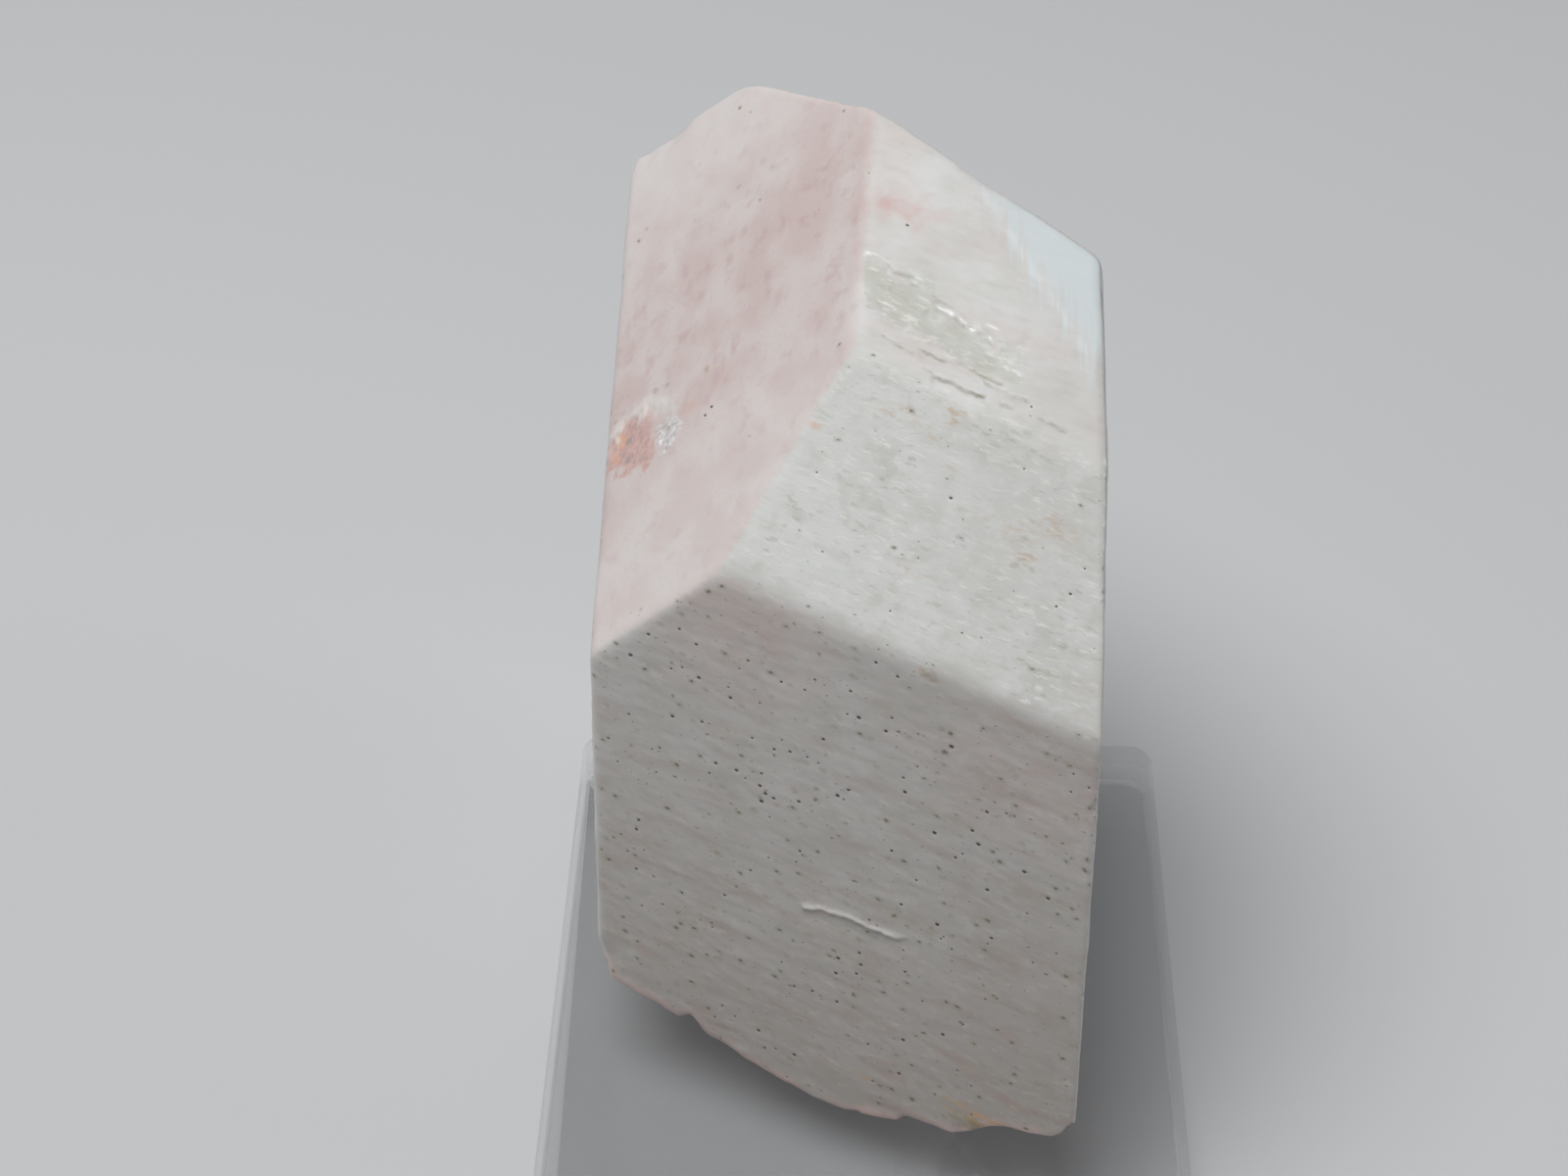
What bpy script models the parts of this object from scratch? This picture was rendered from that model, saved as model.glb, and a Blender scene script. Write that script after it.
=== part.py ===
"""Orthoclase crystal standing on a small plate of clear acrylic sheet.

The crystal is one stubby, blocky feldspar crystal. It stands on its broken base, its long a axis
rising to the back, so that its top face slopes towards the viewer.
Lengths below are millimetres and are turned into metres by MM. +Z is up, +X is to the viewer's
right and +Y runs away from the viewer. The origin is at the middle of the footprint, on the ground.
"""
import math
import random

import bmesh
import bpy
from mathutils import Matrix, Vector, noise

MM = 0.001

# Clear plate, a square of eighth-inch sheet with a small round-ended notch in its front edge
PLATE_WIDTH = 32.2
PLATE_DEPTH = 32.0
PLATE_THICKNESS = 3.2
PLATE_CENTRE_Y = -6.85
PLATE_CORNER_RADIUS = 1.2
PLATE_RIM_BEVEL = 0.2
NOTCH_RADIUS = 2.2
NOTCH_DEPTH = 4.6
NOTCH_CENTRE_X = 5.8

# Gap between the plate and the lowest point of the crystal
RESTING_GAP = 0.3

# Flat faces of the crystal, named by their crystal form and the side they are on.
# Each has its azimuth from the front towards the right, its elevation above level, both in
# degrees, and its distance from the middle of the crystal.
CRYSTAL_CENTRE = (-2.0, 0.0, 22.0)
FACES = {
    "n_upper_left": (-74.9, 42.0, 10.95),
    "b_top": (-1.0, 70.6, 16.2),
    "z_upper_front": (-18.6, 44.0, 12.0),
    "m_front": (-23.5, 14.0, 10.4),
    "c_left": (-90.6, -0.3, 11.4),
    "c_right": (89.6, 0.2, 12.15),
    "broken_upper_back": (136.9, 25.9, 18.1),
    "m_back": (151.7, -9.8, 12.75),
    "b_underneath": (179.0, -70.6, 18.2),
    "n_lower_left": (-108.0, -42.0, 18.0),
}
CRYSTAL_LEAN = 19.4
STARTING_BLOCK = 45.0
EDGE_ROUNDING = 0.3

# Broken base: lowest in the middle of its front, rising to both front corners
BREAK_LOW_LEFT_X = -2.2
BREAK_LOW_RIGHT_X = -0.8
BREAK_RISE_LEFT = 0.29
BREAK_RISE_RIGHT = 0.32
BREAK_FRONT_Y = -17.2
BREAK_FRONT_SKEW = -0.434
BREAK_FADE = 11.0
BREAK_LEDGE = 0.45
BREAK_GRAIN = 3.5
BREAK_CELL = 1.0
BREAK_BLOCK_BOTTOM = -9.0

# Stepped cleavage patch on the top face: outlines in the crystal's own frame and their depths
PATCH_OUTER = ((-0.8, 9.9), (2.4, 8.4), (5.4, 5.9), (6.0, 3.6), (2.3, 4.4), (-0.4, 6.4))
PATCH_OUTER_DEPTH = 0.22
PATCH_INNER = ((0.0, 7.6), (2.4, 6.7), (4.9, 4.9), (5.2, 4.1), (2.4, 4.9), (0.1, 6.5))
PATCH_INNER_DEPTH = 0.45

# Cleavage steps across the broken upper back, in the crystal's frame: the place of each riser
# across the crystal, how deep it lies below the break, and its lowest and highest reach
BACK_STEPS = (
    (-1.6, 0.6, 8.4, 12.4),
    (1.6, 1.1, 8.0, 14.6),
    (5.2, 0.8, 6.5, 13.4),
    (8.6, 1.2, 3.0, 14.8),
)

# Chips: middle of the cutting pebble, its three radii and its turn about the upright
CHIPS = {
    "left_edge": ((-13.6, 4.3, 30.3), (3.9, 3.3, 1.5), 25.0),
    "left_edge_notch": ((-13.9, 5.4, 28.9), (1.5, 1.2, 1.3), 0.0),
    "top_corner_left": ((-12.4, 23.4, 34.8), (1.9, 1.6, 1.9), 20.0),
    "top_corner_mid": ((-9.4, 22.4, 37.8), (1.8, 1.6, 1.9), -15.0),
    "front_hollow": ((-2.2, -15.4, 12.6), (4.4, 1.5, 1.9), -24.0),
    "front_hollow_right": ((1.2, -16.6, 13.2), (2.4, 1.1, 1.2), -24.0),
    "right_edge_nick": ((10.6, -16.4, 25.0), (0.9, 0.8, 0.6), 0.0),
    "right_bottom": ((11.2, -21.4, 6.4), (2.0, 1.8, 1.6), 0.0),
    "left_bottom": ((-14.4, -11.4, 7.2), (1.5, 1.7, 1.8), 0.0),
    "back_right": ((11.5, 10.6, 22.0), (2.4, 3.0, 4.5), 10.0),
    "back_low": ((2.0, 13.2, 5.2), (5.0, 3.0, 2.6), -28.0),
}
CHIP_ROUGHNESS = 0.35

# Small pits on the front face: clusters as across, up and spread, in the face's own plane
PIT_CLUSTERS = (
    (-8.5, 3.6, 1.6, 5),
    (-1.6, -1.0, 2.2, 5),
    (3.4, -0.5, 1.4, 3),
    (0.3, -5.6, 2.6, 6),
)
PIT_RADII = (0.55, 0.28)
PIT_SEED = 11


def remove_everything():
    """Empty the scene without closing the file that is being run."""
    for item in list(bpy.data.objects):
        bpy.data.objects.remove(item, do_unlink=True)


def make_material(name, colour, roughness, transmission=0.0, ior=1.5):
    """Principled material with a plain colour."""
    material = bpy.data.materials.new(name)
    material.use_nodes = True
    shader = material.node_tree.nodes["Principled BSDF"]
    shader.inputs["Base Color"].default_value = (*colour, 1.0)
    shader.inputs["Roughness"].default_value = roughness
    shader.inputs["Metallic"].default_value = 0.0
    shader.inputs["Transmission Weight"].default_value = transmission
    shader.inputs["IOR"].default_value = ior
    return material


def make_object(name, bm, material=None):
    """Turn a bmesh into an object of the scene."""
    mesh = bpy.data.meshes.new(name)
    bm.to_mesh(mesh)
    bm.free()
    item = bpy.data.objects.new(name, mesh)
    bpy.context.scene.collection.objects.link(item)
    if material is not None:
        mesh.materials.append(material)
    return item


def make_cutter(name, bm, target):
    """Guide object that is cut out of the target with an exact Boolean."""
    cutter = make_object(name, bm)
    cutter.hide_render = True
    cutter.display_type = "WIRE"
    cut = target.modifiers.new(name, "BOOLEAN")
    cut.operation = "DIFFERENCE"
    cut.solver = "EXACT"
    cut.object = cutter
    return cutter


def direction(azimuth, elevation):
    """Unit vector for an azimuth from the front towards the right and an elevation."""
    turn = math.radians(azimuth)
    rise = math.radians(elevation)
    level = math.cos(rise)
    return Vector((math.sin(turn) * level, -math.cos(turn) * level, math.sin(rise)))


def crystal_frame():
    """Frame of the crystal: X to the right, Y along its a axis, Z out of its top face."""
    lean = Matrix.Rotation(math.radians(CRYSTAL_LEAN), 4, "X")
    return Matrix.Translation(Vector(CRYSTAL_CENTRE) * MM) @ lean


def faceted_body():
    """Solid bounded by the crystal's flat faces, with slightly rounded edges."""
    centre = Vector(CRYSTAL_CENTRE) * MM
    bm = bmesh.new()
    bmesh.ops.create_cube(bm, size=2.0 * STARTING_BLOCK * MM)
    bmesh.ops.translate(bm, vec=centre, verts=bm.verts)
    for azimuth, elevation, distance in FACES.values():
        outward = direction(azimuth, elevation)
        everything = bm.verts[:] + bm.edges[:] + bm.faces[:]
        cut = bmesh.ops.bisect_plane(
            bm,
            geom=everything,
            dist=1e-7,
            plane_co=centre + outward * distance * MM,
            plane_no=outward,
            clear_outer=True,
        )
        rim = [part for part in cut["geom_cut"] if isinstance(part, bmesh.types.BMEdge)]
        bmesh.ops.edgeloop_fill(bm, edges=rim)
    bmesh.ops.dissolve_limit(bm, angle_limit=0.001, verts=bm.verts, edges=bm.edges)
    bmesh.ops.recalc_face_normals(bm, faces=bm.faces)
    bmesh.ops.bevel(
        bm,
        geom=bm.edges[:],
        offset=EDGE_ROUNDING * MM,
        segments=2,
        profile=0.5,
        affect="EDGES",
    )
    return bm


def break_height(x, y):
    """Height of the broken base at a place, in millimetres."""
    front = BREAK_FRONT_Y + BREAK_FRONT_SKEW * x
    behind = min(max((y - front) / BREAK_FADE, 0.0), 1.0)
    fade = 1.0 - behind * behind * (3.0 - 2.0 * behind)
    left = BREAK_RISE_LEFT * max(BREAK_LOW_LEFT_X - x, 0.0)
    right = BREAK_RISE_RIGHT * max(x - BREAK_LOW_RIGHT_X, 0.0)
    place = Vector((x, y, 0.0)) / BREAK_GRAIN
    swell = 0.5 + 0.5 * noise.noise(place)
    ledge = BREAK_LEDGE * math.floor(3.0 * swell)
    grain = 0.2 * (0.5 + 0.5 * noise.noise(place * 3.1))
    return (left + right) * fade + ledge * (1.0 - 0.7 * fade) + grain


def base_block():
    """Block under the crystal whose rough top is the surface of the break."""
    low_x, high_x = -18.0, 16.0
    low_y, high_y = -26.0, 28.0
    columns = round((high_x - low_x) / BREAK_CELL)
    rows = round((high_y - low_y) / BREAK_CELL)
    bm = bmesh.new()
    bmesh.ops.create_grid(bm, x_segments=columns, y_segments=rows, size=0.5)
    ground = PLATE_THICKNESS + RESTING_GAP
    for vert in bm.verts:
        x = low_x + (vert.co.x + 0.5) * (high_x - low_x)
        y = low_y + (vert.co.y + 0.5) * (high_y - low_y)
        vert.co = Vector((x, y, ground + break_height(x, y))) * MM
    top = bm.faces[:]
    grown = bmesh.ops.extrude_face_region(bm, geom=top)
    for part in grown["geom"]:
        if isinstance(part, bmesh.types.BMVert):
            part.co.z = BREAK_BLOCK_BOTTOM * MM
    bmesh.ops.recalc_face_normals(bm, faces=bm.faces)
    return bm


def patch_cutter(outline, depth):
    """Prism that sinks a flat-floored step into the top face."""
    face_height = FACES["b_top"][2]
    frame = crystal_frame()
    bm = bmesh.new()
    corners = []
    for x, y in outline:
        local = Vector((x - CRYSTAL_CENTRE[0], y, face_height - depth)) * MM
        corners.append(bm.verts.new(frame @ local))
    floor = bm.faces.new(corners)
    grown = bmesh.ops.extrude_face_region(bm, geom=[floor])
    lift = frame.to_3x3() @ Vector((0.0, 0.0, 3.0)) * MM
    moved = [part for part in grown["geom"] if isinstance(part, bmesh.types.BMVert)]
    bmesh.ops.translate(bm, vec=lift, verts=moved)
    bmesh.ops.recalc_face_normals(bm, faces=bm.faces)
    return bm


def back_step_cutter(side, depth, low, high):
    """Box in the crystal's frame whose corner takes a cleavage step out of the broken back."""
    azimuth, elevation, distance = FACES["broken_upper_back"]
    frame = crystal_frame()
    outward = frame.to_3x3().transposed() @ direction(azimuth, elevation)
    middle = 0.5 * (low + high)
    behind = (distance - depth - outward.x * side - outward.z * middle) / outward.y
    reach = 12.0
    size = Vector((reach, reach, high - low))
    corner = Vector((side, behind, low))
    bm = bmesh.new()
    bmesh.ops.create_cube(bm, size=1.0)
    for vert in bm.verts:
        unit = vert.co + Vector((0.5, 0.5, 0.5))
        place = corner + Vector(part * length for part, length in zip(unit, size))
        vert.co = frame @ (place * MM)
    bmesh.ops.recalc_face_normals(bm, faces=bm.faces)
    return bm


def pebble(centre, radii, turn, seed):
    """Rough pebble that breaks a shell-shaped chip out of an edge."""
    bm = bmesh.new()
    bmesh.ops.create_icosphere(bm, subdivisions=3, radius=1.0)
    spin = Matrix.Rotation(math.radians(turn), 4, "Z")
    for vert in bm.verts:
        bump = noise.noise(vert.co * 1.7 + Vector((seed * 3.7, seed * 1.3, 0.0)))
        shaped = vert.co * (1.0 + CHIP_ROUGHNESS * bump)
        shaped = Vector(part * radius for part, radius in zip(shaped, radii))
        vert.co = (spin @ shaped + Vector(centre)) * MM
    bmesh.ops.recalc_face_normals(bm, faces=bm.faces)
    return bm


def pit_cutters():
    """Small dents of the front face, stretched along the crystal's c axis."""
    azimuth, elevation, distance = FACES["m_front"]
    outward = direction(azimuth, elevation)
    along = outward.cross(direction(*FACES["z_upper_front"][:2])).normalized()
    up = outward.cross(along).normalized()
    if up.z < 0.0:
        up = -up
    middle = Vector(CRYSTAL_CENTRE) + outward * distance
    draw = random.Random(PIT_SEED)
    bm = bmesh.new()
    placed = []
    for across, height, spread, count in PIT_CLUSTERS:
        for _ in range(count):
            u = across + draw.gauss(0.0, spread)
            v = height + draw.gauss(0.0, spread * 0.6)
            size = draw.uniform(0.7, 1.15)
            if any(math.hypot(u - p, v - q) < 1.5 for p, q in placed):
                continue
            placed.append((u, v))
            long_radius, short_radius = (radius * size for radius in PIT_RADII)
            axes = Matrix((along * long_radius, outward * short_radius, up * short_radius))
            pit = axes.transposed().to_4x4()
            pit.translation = middle + along * u + up * v
            bmesh.ops.create_icosphere(
                bm, subdivisions=1, radius=1.0, matrix=Matrix.Scale(MM, 4) @ pit
            )
    bmesh.ops.recalc_face_normals(bm, faces=bm.faces)
    return bm


def make_crystal():
    """The crystal: flat faces, a broken base, chips, a cleavage patch, ledges and pits."""
    stone = make_material("pale_pink_feldspar", (0.78, 0.66, 0.60), 0.5)
    crystal = make_object("crystal", faceted_body(), stone)
    make_cutter("cut_base", base_block(), crystal)
    for number, step in enumerate(BACK_STEPS):
        make_cutter(f"cut_back_step_{number}", back_step_cutter(*step), crystal)
    make_cutter("cut_patch_outer", patch_cutter(PATCH_OUTER, PATCH_OUTER_DEPTH), crystal)
    make_cutter("cut_patch_inner", patch_cutter(PATCH_INNER, PATCH_INNER_DEPTH), crystal)
    for seed, (name, (centre, radii, turn)) in enumerate(CHIPS.items()):
        make_cutter(f"cut_{name}", pebble(centre, radii, turn, seed), crystal)
    make_cutter("cut_pits", pit_cutters(), crystal)
    return crystal


def arc(centre, radius, start, end, steps):
    """Points along an arc, angles in degrees."""
    points = []
    for step in range(steps + 1):
        angle = math.radians(start + (end - start) * step / steps)
        x = centre[0] + radius * math.cos(angle)
        y = centre[1] + radius * math.sin(angle)
        points.append((x, y))
    return points


def plate_outline():
    """Outline of the plate, counter-clockwise from its front left corner."""
    half_width = PLATE_WIDTH / 2.0
    front = PLATE_CENTRE_Y - PLATE_DEPTH / 2.0
    back = PLATE_CENTRE_Y + PLATE_DEPTH / 2.0
    radius = PLATE_CORNER_RADIUS
    left = -half_width + radius
    right = half_width - radius
    points = arc((left, front + radius), radius, 180.0, 270.0, 5)
    points.append((NOTCH_CENTRE_X - NOTCH_RADIUS, front))
    notch_centre = (NOTCH_CENTRE_X, front + NOTCH_DEPTH - NOTCH_RADIUS)
    points += arc(notch_centre, NOTCH_RADIUS, 180.0, 0.0, 14)
    points.append((NOTCH_CENTRE_X + NOTCH_RADIUS, front))
    points += arc((right, front + radius), radius, 270.0, 360.0, 5)
    points += arc((right, back - radius), radius, 0.0, 90.0, 5)
    points += arc((left, back - radius), radius, 90.0, 180.0, 5)
    return points


def make_plate():
    """The clear plate, sawn from sheet, with its rims lightly broken."""
    clear = make_material("clear_acrylic", (0.97, 0.98, 0.98), 0.03, transmission=1.0, ior=1.49)
    bm = bmesh.new()
    corners = [bm.verts.new(Vector((x, y, 0.0)) * MM) for x, y in plate_outline()]
    bottom = bm.faces.new(corners)
    grown = bmesh.ops.extrude_face_region(bm, geom=[bottom])
    moved = [part for part in grown["geom"] if isinstance(part, bmesh.types.BMVert)]
    bmesh.ops.translate(bm, vec=(0.0, 0.0, PLATE_THICKNESS * MM), verts=moved)
    bmesh.ops.recalc_face_normals(bm, faces=bm.faces)
    plate = make_object("stand_plate", bm, clear)
    bevel = plate.modifiers.new("broken_rims", "BEVEL")
    bevel.width = PLATE_RIM_BEVEL * MM
    bevel.segments = 1
    bevel.limit_method = "ANGLE"
    bevel.angle_limit = math.radians(60.0)
    return plate


def main():
    """Build the plate and the crystal that stands on it."""
    remove_everything()
    make_plate()
    make_crystal()


main()
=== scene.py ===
"""Looks of the orthoclase specimen: the finely modelled crystal on its clear plate.

Places and sizes in the numeric work are millimetres in the frame's axes: +X right, +Y away from
the viewer, +Z up. They are turned into metres by MM where meshes, lights and the camera are made.
"""
import math

import bpy
import numpy as np
from mathutils import Euler, Matrix, Vector
from mathutils.geometry import delaunay_2d_cdt


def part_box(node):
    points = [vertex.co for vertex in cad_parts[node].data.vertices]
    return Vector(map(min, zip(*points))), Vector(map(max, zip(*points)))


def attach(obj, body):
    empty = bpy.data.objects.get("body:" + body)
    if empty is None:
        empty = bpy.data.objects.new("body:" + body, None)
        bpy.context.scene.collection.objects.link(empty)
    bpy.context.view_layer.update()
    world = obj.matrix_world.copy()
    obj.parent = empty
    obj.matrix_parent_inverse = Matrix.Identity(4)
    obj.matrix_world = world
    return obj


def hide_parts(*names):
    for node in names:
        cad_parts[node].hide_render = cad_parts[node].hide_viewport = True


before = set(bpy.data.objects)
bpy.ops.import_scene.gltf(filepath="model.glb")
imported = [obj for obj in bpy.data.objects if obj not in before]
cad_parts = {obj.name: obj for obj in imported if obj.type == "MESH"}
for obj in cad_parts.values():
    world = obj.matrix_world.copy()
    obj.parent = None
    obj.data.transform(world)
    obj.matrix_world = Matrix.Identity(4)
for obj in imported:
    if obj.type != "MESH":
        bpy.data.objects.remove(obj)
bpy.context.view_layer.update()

MM = 0.001
crystal_box = np.array(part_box("crystal")) / MM

# Camera of the photograph: place, downward pitch and turn, and focal length in image pixels
IMAGE_WIDTH = 1600
FOCAL_PIXELS = 2727.0
SENSOR_WIDTH = 36.0
CAMERA_PLACE = (-1.5, -96.75, 113.2)
CAMERA_PITCH = 42.9
CAMERA_TURN = 1.75

# Flat faces of the crystal: azimuth from the front towards the right, elevation, distance from
# the crystal's middle, and the spacing of the mesh on that face
CRYSTAL_CENTRE = np.array((-2.0, 0.0, 22.0))
FACES = {
    "n_upper_left": (-74.9, 42.0, 10.95, 0.2),
    "b_top": (-1.0, 70.6, 16.2, 0.18),
    "z_upper_front": (-18.6, 44.0, 12.0, 0.18),
    "m_front": (-23.5, 14.0, 10.4, 0.16),
    "c_left": (-90.6, -0.3, 11.5, 0.42),
    "c_right": (89.6, 0.2, 12.15, 0.42),
    "broken_upper_back": (136.9, 25.9, 18.2, 0.26),
    "m_back": (151.7, -9.8, 13.1, 0.44),
    "b_underneath": (179.0, -70.6, 18.2, 0.55),
    "n_lower_left": (-108.0, -42.0, 18.0, 0.55),
}
BREAK_SPACING = 0.42
VISIBLE_EDGE_SPACING = 0.15
HIDDEN_EDGE_SPACING = 0.3
NEAR_EDGE = 0.6
# Zones with a finer mesh: middle, radius and spacing
FINE_ZONES = (
    ((2.4, 1.2, 39.6), 4.3, 0.11),
    ((5.5, -3.0, 38.0), 2.9, 0.12),
    ((-11.4, 4.0, 29.3), 3.1, 0.11),
    ((-0.6, -14.3, 14.6), 3.2, 0.12),
)
CRYSTAL_LEAN = math.radians(19.4)
EDGE_BLEND = 0.44

# Broken base: the height of its front rim across the crystal, as seen, and how it runs back
BREAK_RIM = (
    (-13.4, 7.2), (-12.8, 6.3), (-9.4, 5.4), (-8.74, 5.75), (-8.04, 5.0), (-5.93, 4.42),
    (-2.58, 3.6), (-1.0, 3.58), (-0.13, 3.88), (1.7, 4.26), (1.98, 4.57), (4.27, 4.65),
    (4.83, 4.97), (6.02, 5.88), (7.07, 6.26), (7.95, 6.39), (9.62, 6.95), (10.1, 7.9),
)
BREAK_FRONT_Y = -17.2
BREAK_FRONT_SKEW = -0.434
BREAK_FADE = 11.0
BREAK_TOP = 13.0

# Chips: middle of the pebble that breaks each one out, its radii and its turn about the upright
CHIPS = (
    ((11.5, 10.6, 22.0), (2.4, 3.0, 4.5), 10.0),
    ((2.0, 13.2, 5.2), (5.0, 3.0, 2.6), -28.0),
)
CHIP_ROUGHNESS = 0.3

# Small dents along the edges: middle, radius and depth
DENTS = (
    ((-11.2, 22.2, 35.0), 1.6, 0.32),
    ((-12.4, 22.6, 33.7), 1.4, 0.3),
    ((-13.4, 22.9, 32.7), 1.2, 0.18),
    ((-10.4, 22.0, 35.9), 0.9, 0.12),
    ((-7.4, 20.9, 39.2), 1.3, 0.06),
    ((9.95, -16.05, 25.0), 0.5, 0.16),
    ((9.9, -20.6, 7.2), 1.2, 0.3),
    ((-13.4, -10.6, 7.4), 1.4, 0.3),
)

NAMES = list(FACES) + ["broken_base"]
BASE = len(FACES)
PINK_SIDE, TOP, UPPER_FRONT, FRONT = range(4)
LEFT, RIGHT, BROKEN_BACK, BACK = range(4, 8)
VISIBLE = (PINK_SIDE, TOP, UPPER_FRONT, FRONT)

# Ledges of the cleavage band across the top: points of each line, the drop below it, the strength of
# the painted glint on its fresh lip, and how dark the painted shade under it
LEDGES = (
    (((-0.95, 4.2), (-0.15, 3.89), (0.53, 3.28), (1.12, 3.03)), 0.1, 1.0, 0.0),
    (((1.2, 3.0), (2.3, 2.54)), 0.06, 0.45, 0.0),
    (((-0.15, 1.66), (0.37, 1.45), (1.32, 0.61)), 0.07, 0.7, 0.0),
    (((1.6, 1.95), (2.2, 1.6)), 0.05, 0.45, 0.0),
    (((2.43, 1.48), (3.23, 0.99), (3.9, 0.35), (4.83, -0.23), (5.09, -0.6)), 0.1, 1.0, 0.0),
    (((4.7, 0.5), (5.3, 0.2)), 0.05, 0.8, 0.0),
    (((4.64, -0.88), (5.6, -1.6), (6.3, -2.1)), 0.05, 0.7, 0.0),
    (((1.2, -3.0), (1.6, -3.2)), 0.04, 0.3, 0.3),
    (((0.0, -0.1), (1.4, -1.0)), 0.04, 0.2, 0.6),
    (((2.0, -0.2), (3.4, -0.9), (4.6, -1.5)), 0.04, 0.4, 0.4),
    (((4.6, -2.3), (5.6, -2.9), (6.6, -3.3)), 0.04, 0.3, 0.6),
    (((1.68, -0.73), (2.61, -1.21), (3.63, -1.49), (4.5, -2.02), (5.51, -2.49)), 0.09, 0.2, 0.8),
    (((1.9, -1.6), (2.35, -2.0)), 0.05, 0.1, 0.6),
    (((2.26, -2.05), (3.14, -2.33), (3.8, -2.81), (4.63, -3.04)), 0.12, 0.2, 1.0),
    (((3.0, -0.5), (3.9, -1.0)), 0.05, 0.3, 0.3),
    (((5.3, -3.35), (5.9, -3.6)), 0.05, 0.2, 0.6),
    (((7.0, -4.05), (8.2, -4.75)), 0.06, 0.1, 0.7),
)
LEDGE_WALL = 0.15
LEDGE_RECOVERY = 0.9

# Cleavage band across the top: its far and its near border, as (across, away) points
BAND_FAR = ((-1.2, 4.2), (0.5, 3.3), (2.3, 2.5), (2.6, 1.7), (3.9, 0.5), (5.3, -0.5))
BAND_NEAR = ((-1.2, 1.6), (1.3, 0.1), (3.0, -1.2), (4.5, -2.1), (6.2, -2.9))
BAND_ENDS = (-1.5, 6.2)

# Raised lip across the front face, as (across, height) points
FRONT_LIP = (
    (-3.15, 14.62), (-2.4, 14.85), (-1.6, 15.0), (-0.52, 14.94), (0.42, 14.84), (1.26, 14.81),
    (2.1, 15.1),
)

# Dark pits on the front face: across, height and radius
FRONT_PITS = (
    (3.5, 25.8, 0.14), (2.9, 21.1, 0.13), (-0.7, 25.7, 0.13), (5.2, 23.1, 0.11), (1.5, 22.7, 0.12),
    (1.4, 23.4, 0.09), (-1.6, 21.3, 0.13), (-5.0, 20.1, 0.12), (-5.2, 19.6, 0.14),
    (-4.6, 20.0, 0.11), (-5.2, 21.1, 0.09), (-4.6, 22.6, 0.1), (-7.4, 20.8, 0.11),
    (-6.4, 20.8, 0.12), (-1.1, 21.8, 0.1), (-3.4, 20.3, 0.11), (-9.5, 22.5, 0.12),
    (-8.2, 25.0, 0.12), (-8.3, 26.7, 0.1), (-9.1, 27.2, 0.09), (-10.6, 26.4, 0.11),
    (-11.5, 25.0, 0.13), (-6.7, 24.5, 0.11), (-4.3, 26.2, 0.09), (-2.3, 24.0, 0.11),
    (-1.1, 26.9, 0.09), (-3.2, 26.2, 0.08), (7.0, 20.7, 0.13), (5.4, 19.1, 0.12),
    (1.5, 16.7, 0.1), (3.2, 16.3, 0.13), (1.8, 13.1, 0.09), (-1.4, 12.5, 0.13),
    (-1.5, 11.6, 0.12), (1.0, 28.4, 0.1), (4.6, 21.9, 0.11), (4.9, 21.3, 0.13),
    (3.9, 20.2, 0.1), (-0.4, 13.2, 0.1), (-0.3, 12.6, 0.11), (-0.5, 12.0, 0.1),
)
# Dark pits on the upper front, top and pink faces: across, away and radius
UPPER_FRONT_PITS = (
    (3.2, -6.3, 0.1), (8.5, -10.2, 0.09), (7.9, -10.5, 0.08), (6.4, -5.9, 0.06),
    (9.1, -9.5, 0.06), (3.8, -10.7, 0.06), (0.6, -9.5, 0.06), (1.8, -8.0, 0.05), (-2.5, -7.1, 0.06),
)
TOP_PITS = ((1.1, 5.6, 0.1), (6.7, -3.6, 0.07))
PINK_SIDE_PITS = ((-8.3, 2.3, 0.11), (-8.0, 2.5, 0.12))
PLACED_PITS = {
    PINK_SIDE: PINK_SIDE_PITS, TOP: TOP_PITS, UPPER_FRONT: UPPER_FRONT_PITS, FRONT: FRONT_PITS,
}

# Scattered pits: how many on a square centimetre of each face, their radii, and the least
# distance from the face's sides
PIT_DENSITIES = {UPPER_FRONT: 1, FRONT: 16, LEFT: 5, RIGHT: 5, BACK: 9, BROKEN_BACK: 3}
PIT_RADII = (0.05, 0.1)
PIT_MARGIN = 0.4
PIT_SEED = 11

# All pits: share of the placed radii that is built, stretch, and the rings meshed round each
PIT_SHARE = 0.8
PIT_STRETCH = 1.4
PIT_RINGS = (0.55, 1.0)
PIT_RING_POINTS = 9

# The chipped place low on the pink face: its middle, its long direction and its half lengths
WOUND_CENTRE = np.array((-11.5, 4.1, 29.2))
WOUND_ALONG = np.array((0.68, -0.35, 0.643))
WOUND_HALF_LENGTHS = (2.75, 2.05)

# The pinkish tinge below the apex of the front face: its middle and its reach
BLUSH_MIDDLE = np.array((-6.3, -8.0, 29.2))
BLUSH_REACH = 7.0

# Coloured spots: middle, radius and strength
DIRT_SPOTS = (
    ((5.2, -19.0, 5.75), 0.75, 0.8),
    ((2.4, -11.8, 28.95), 0.3, 0.7),
    ((-10.4, 6.0, 31.1), 0.22, 0.5),
    ((-11.0, 6.3, 30.5), 0.25, 0.5),
    ((-5.9, 14.7, 38.4), 0.35, 0.22),
    ((-5.4, 13.8, 38.7), 0.3, 0.2),
    ((-6.6, 13.6, 37.3), 0.35, 0.22),
    ((-2.9, 11.0, 40.6), 0.25, 0.2),
    ((-2.8, 10.1, 40.4), 0.25, 0.2),
    ((-8.4, 5.0, 33.0), 0.22, 0.3),
)
ORANGE_SPOTS = (
    ((-12.75, 5.1, 28.3), 0.55, 1.0),
    ((-13.0, 4.3, 27.8), 0.4, 0.7),
    ((-3.2, -2.95, 36.25), 0.4, 1.0),
    ((-9.0, 3.5, 31.8), 0.5, 0.35),
)
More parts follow.
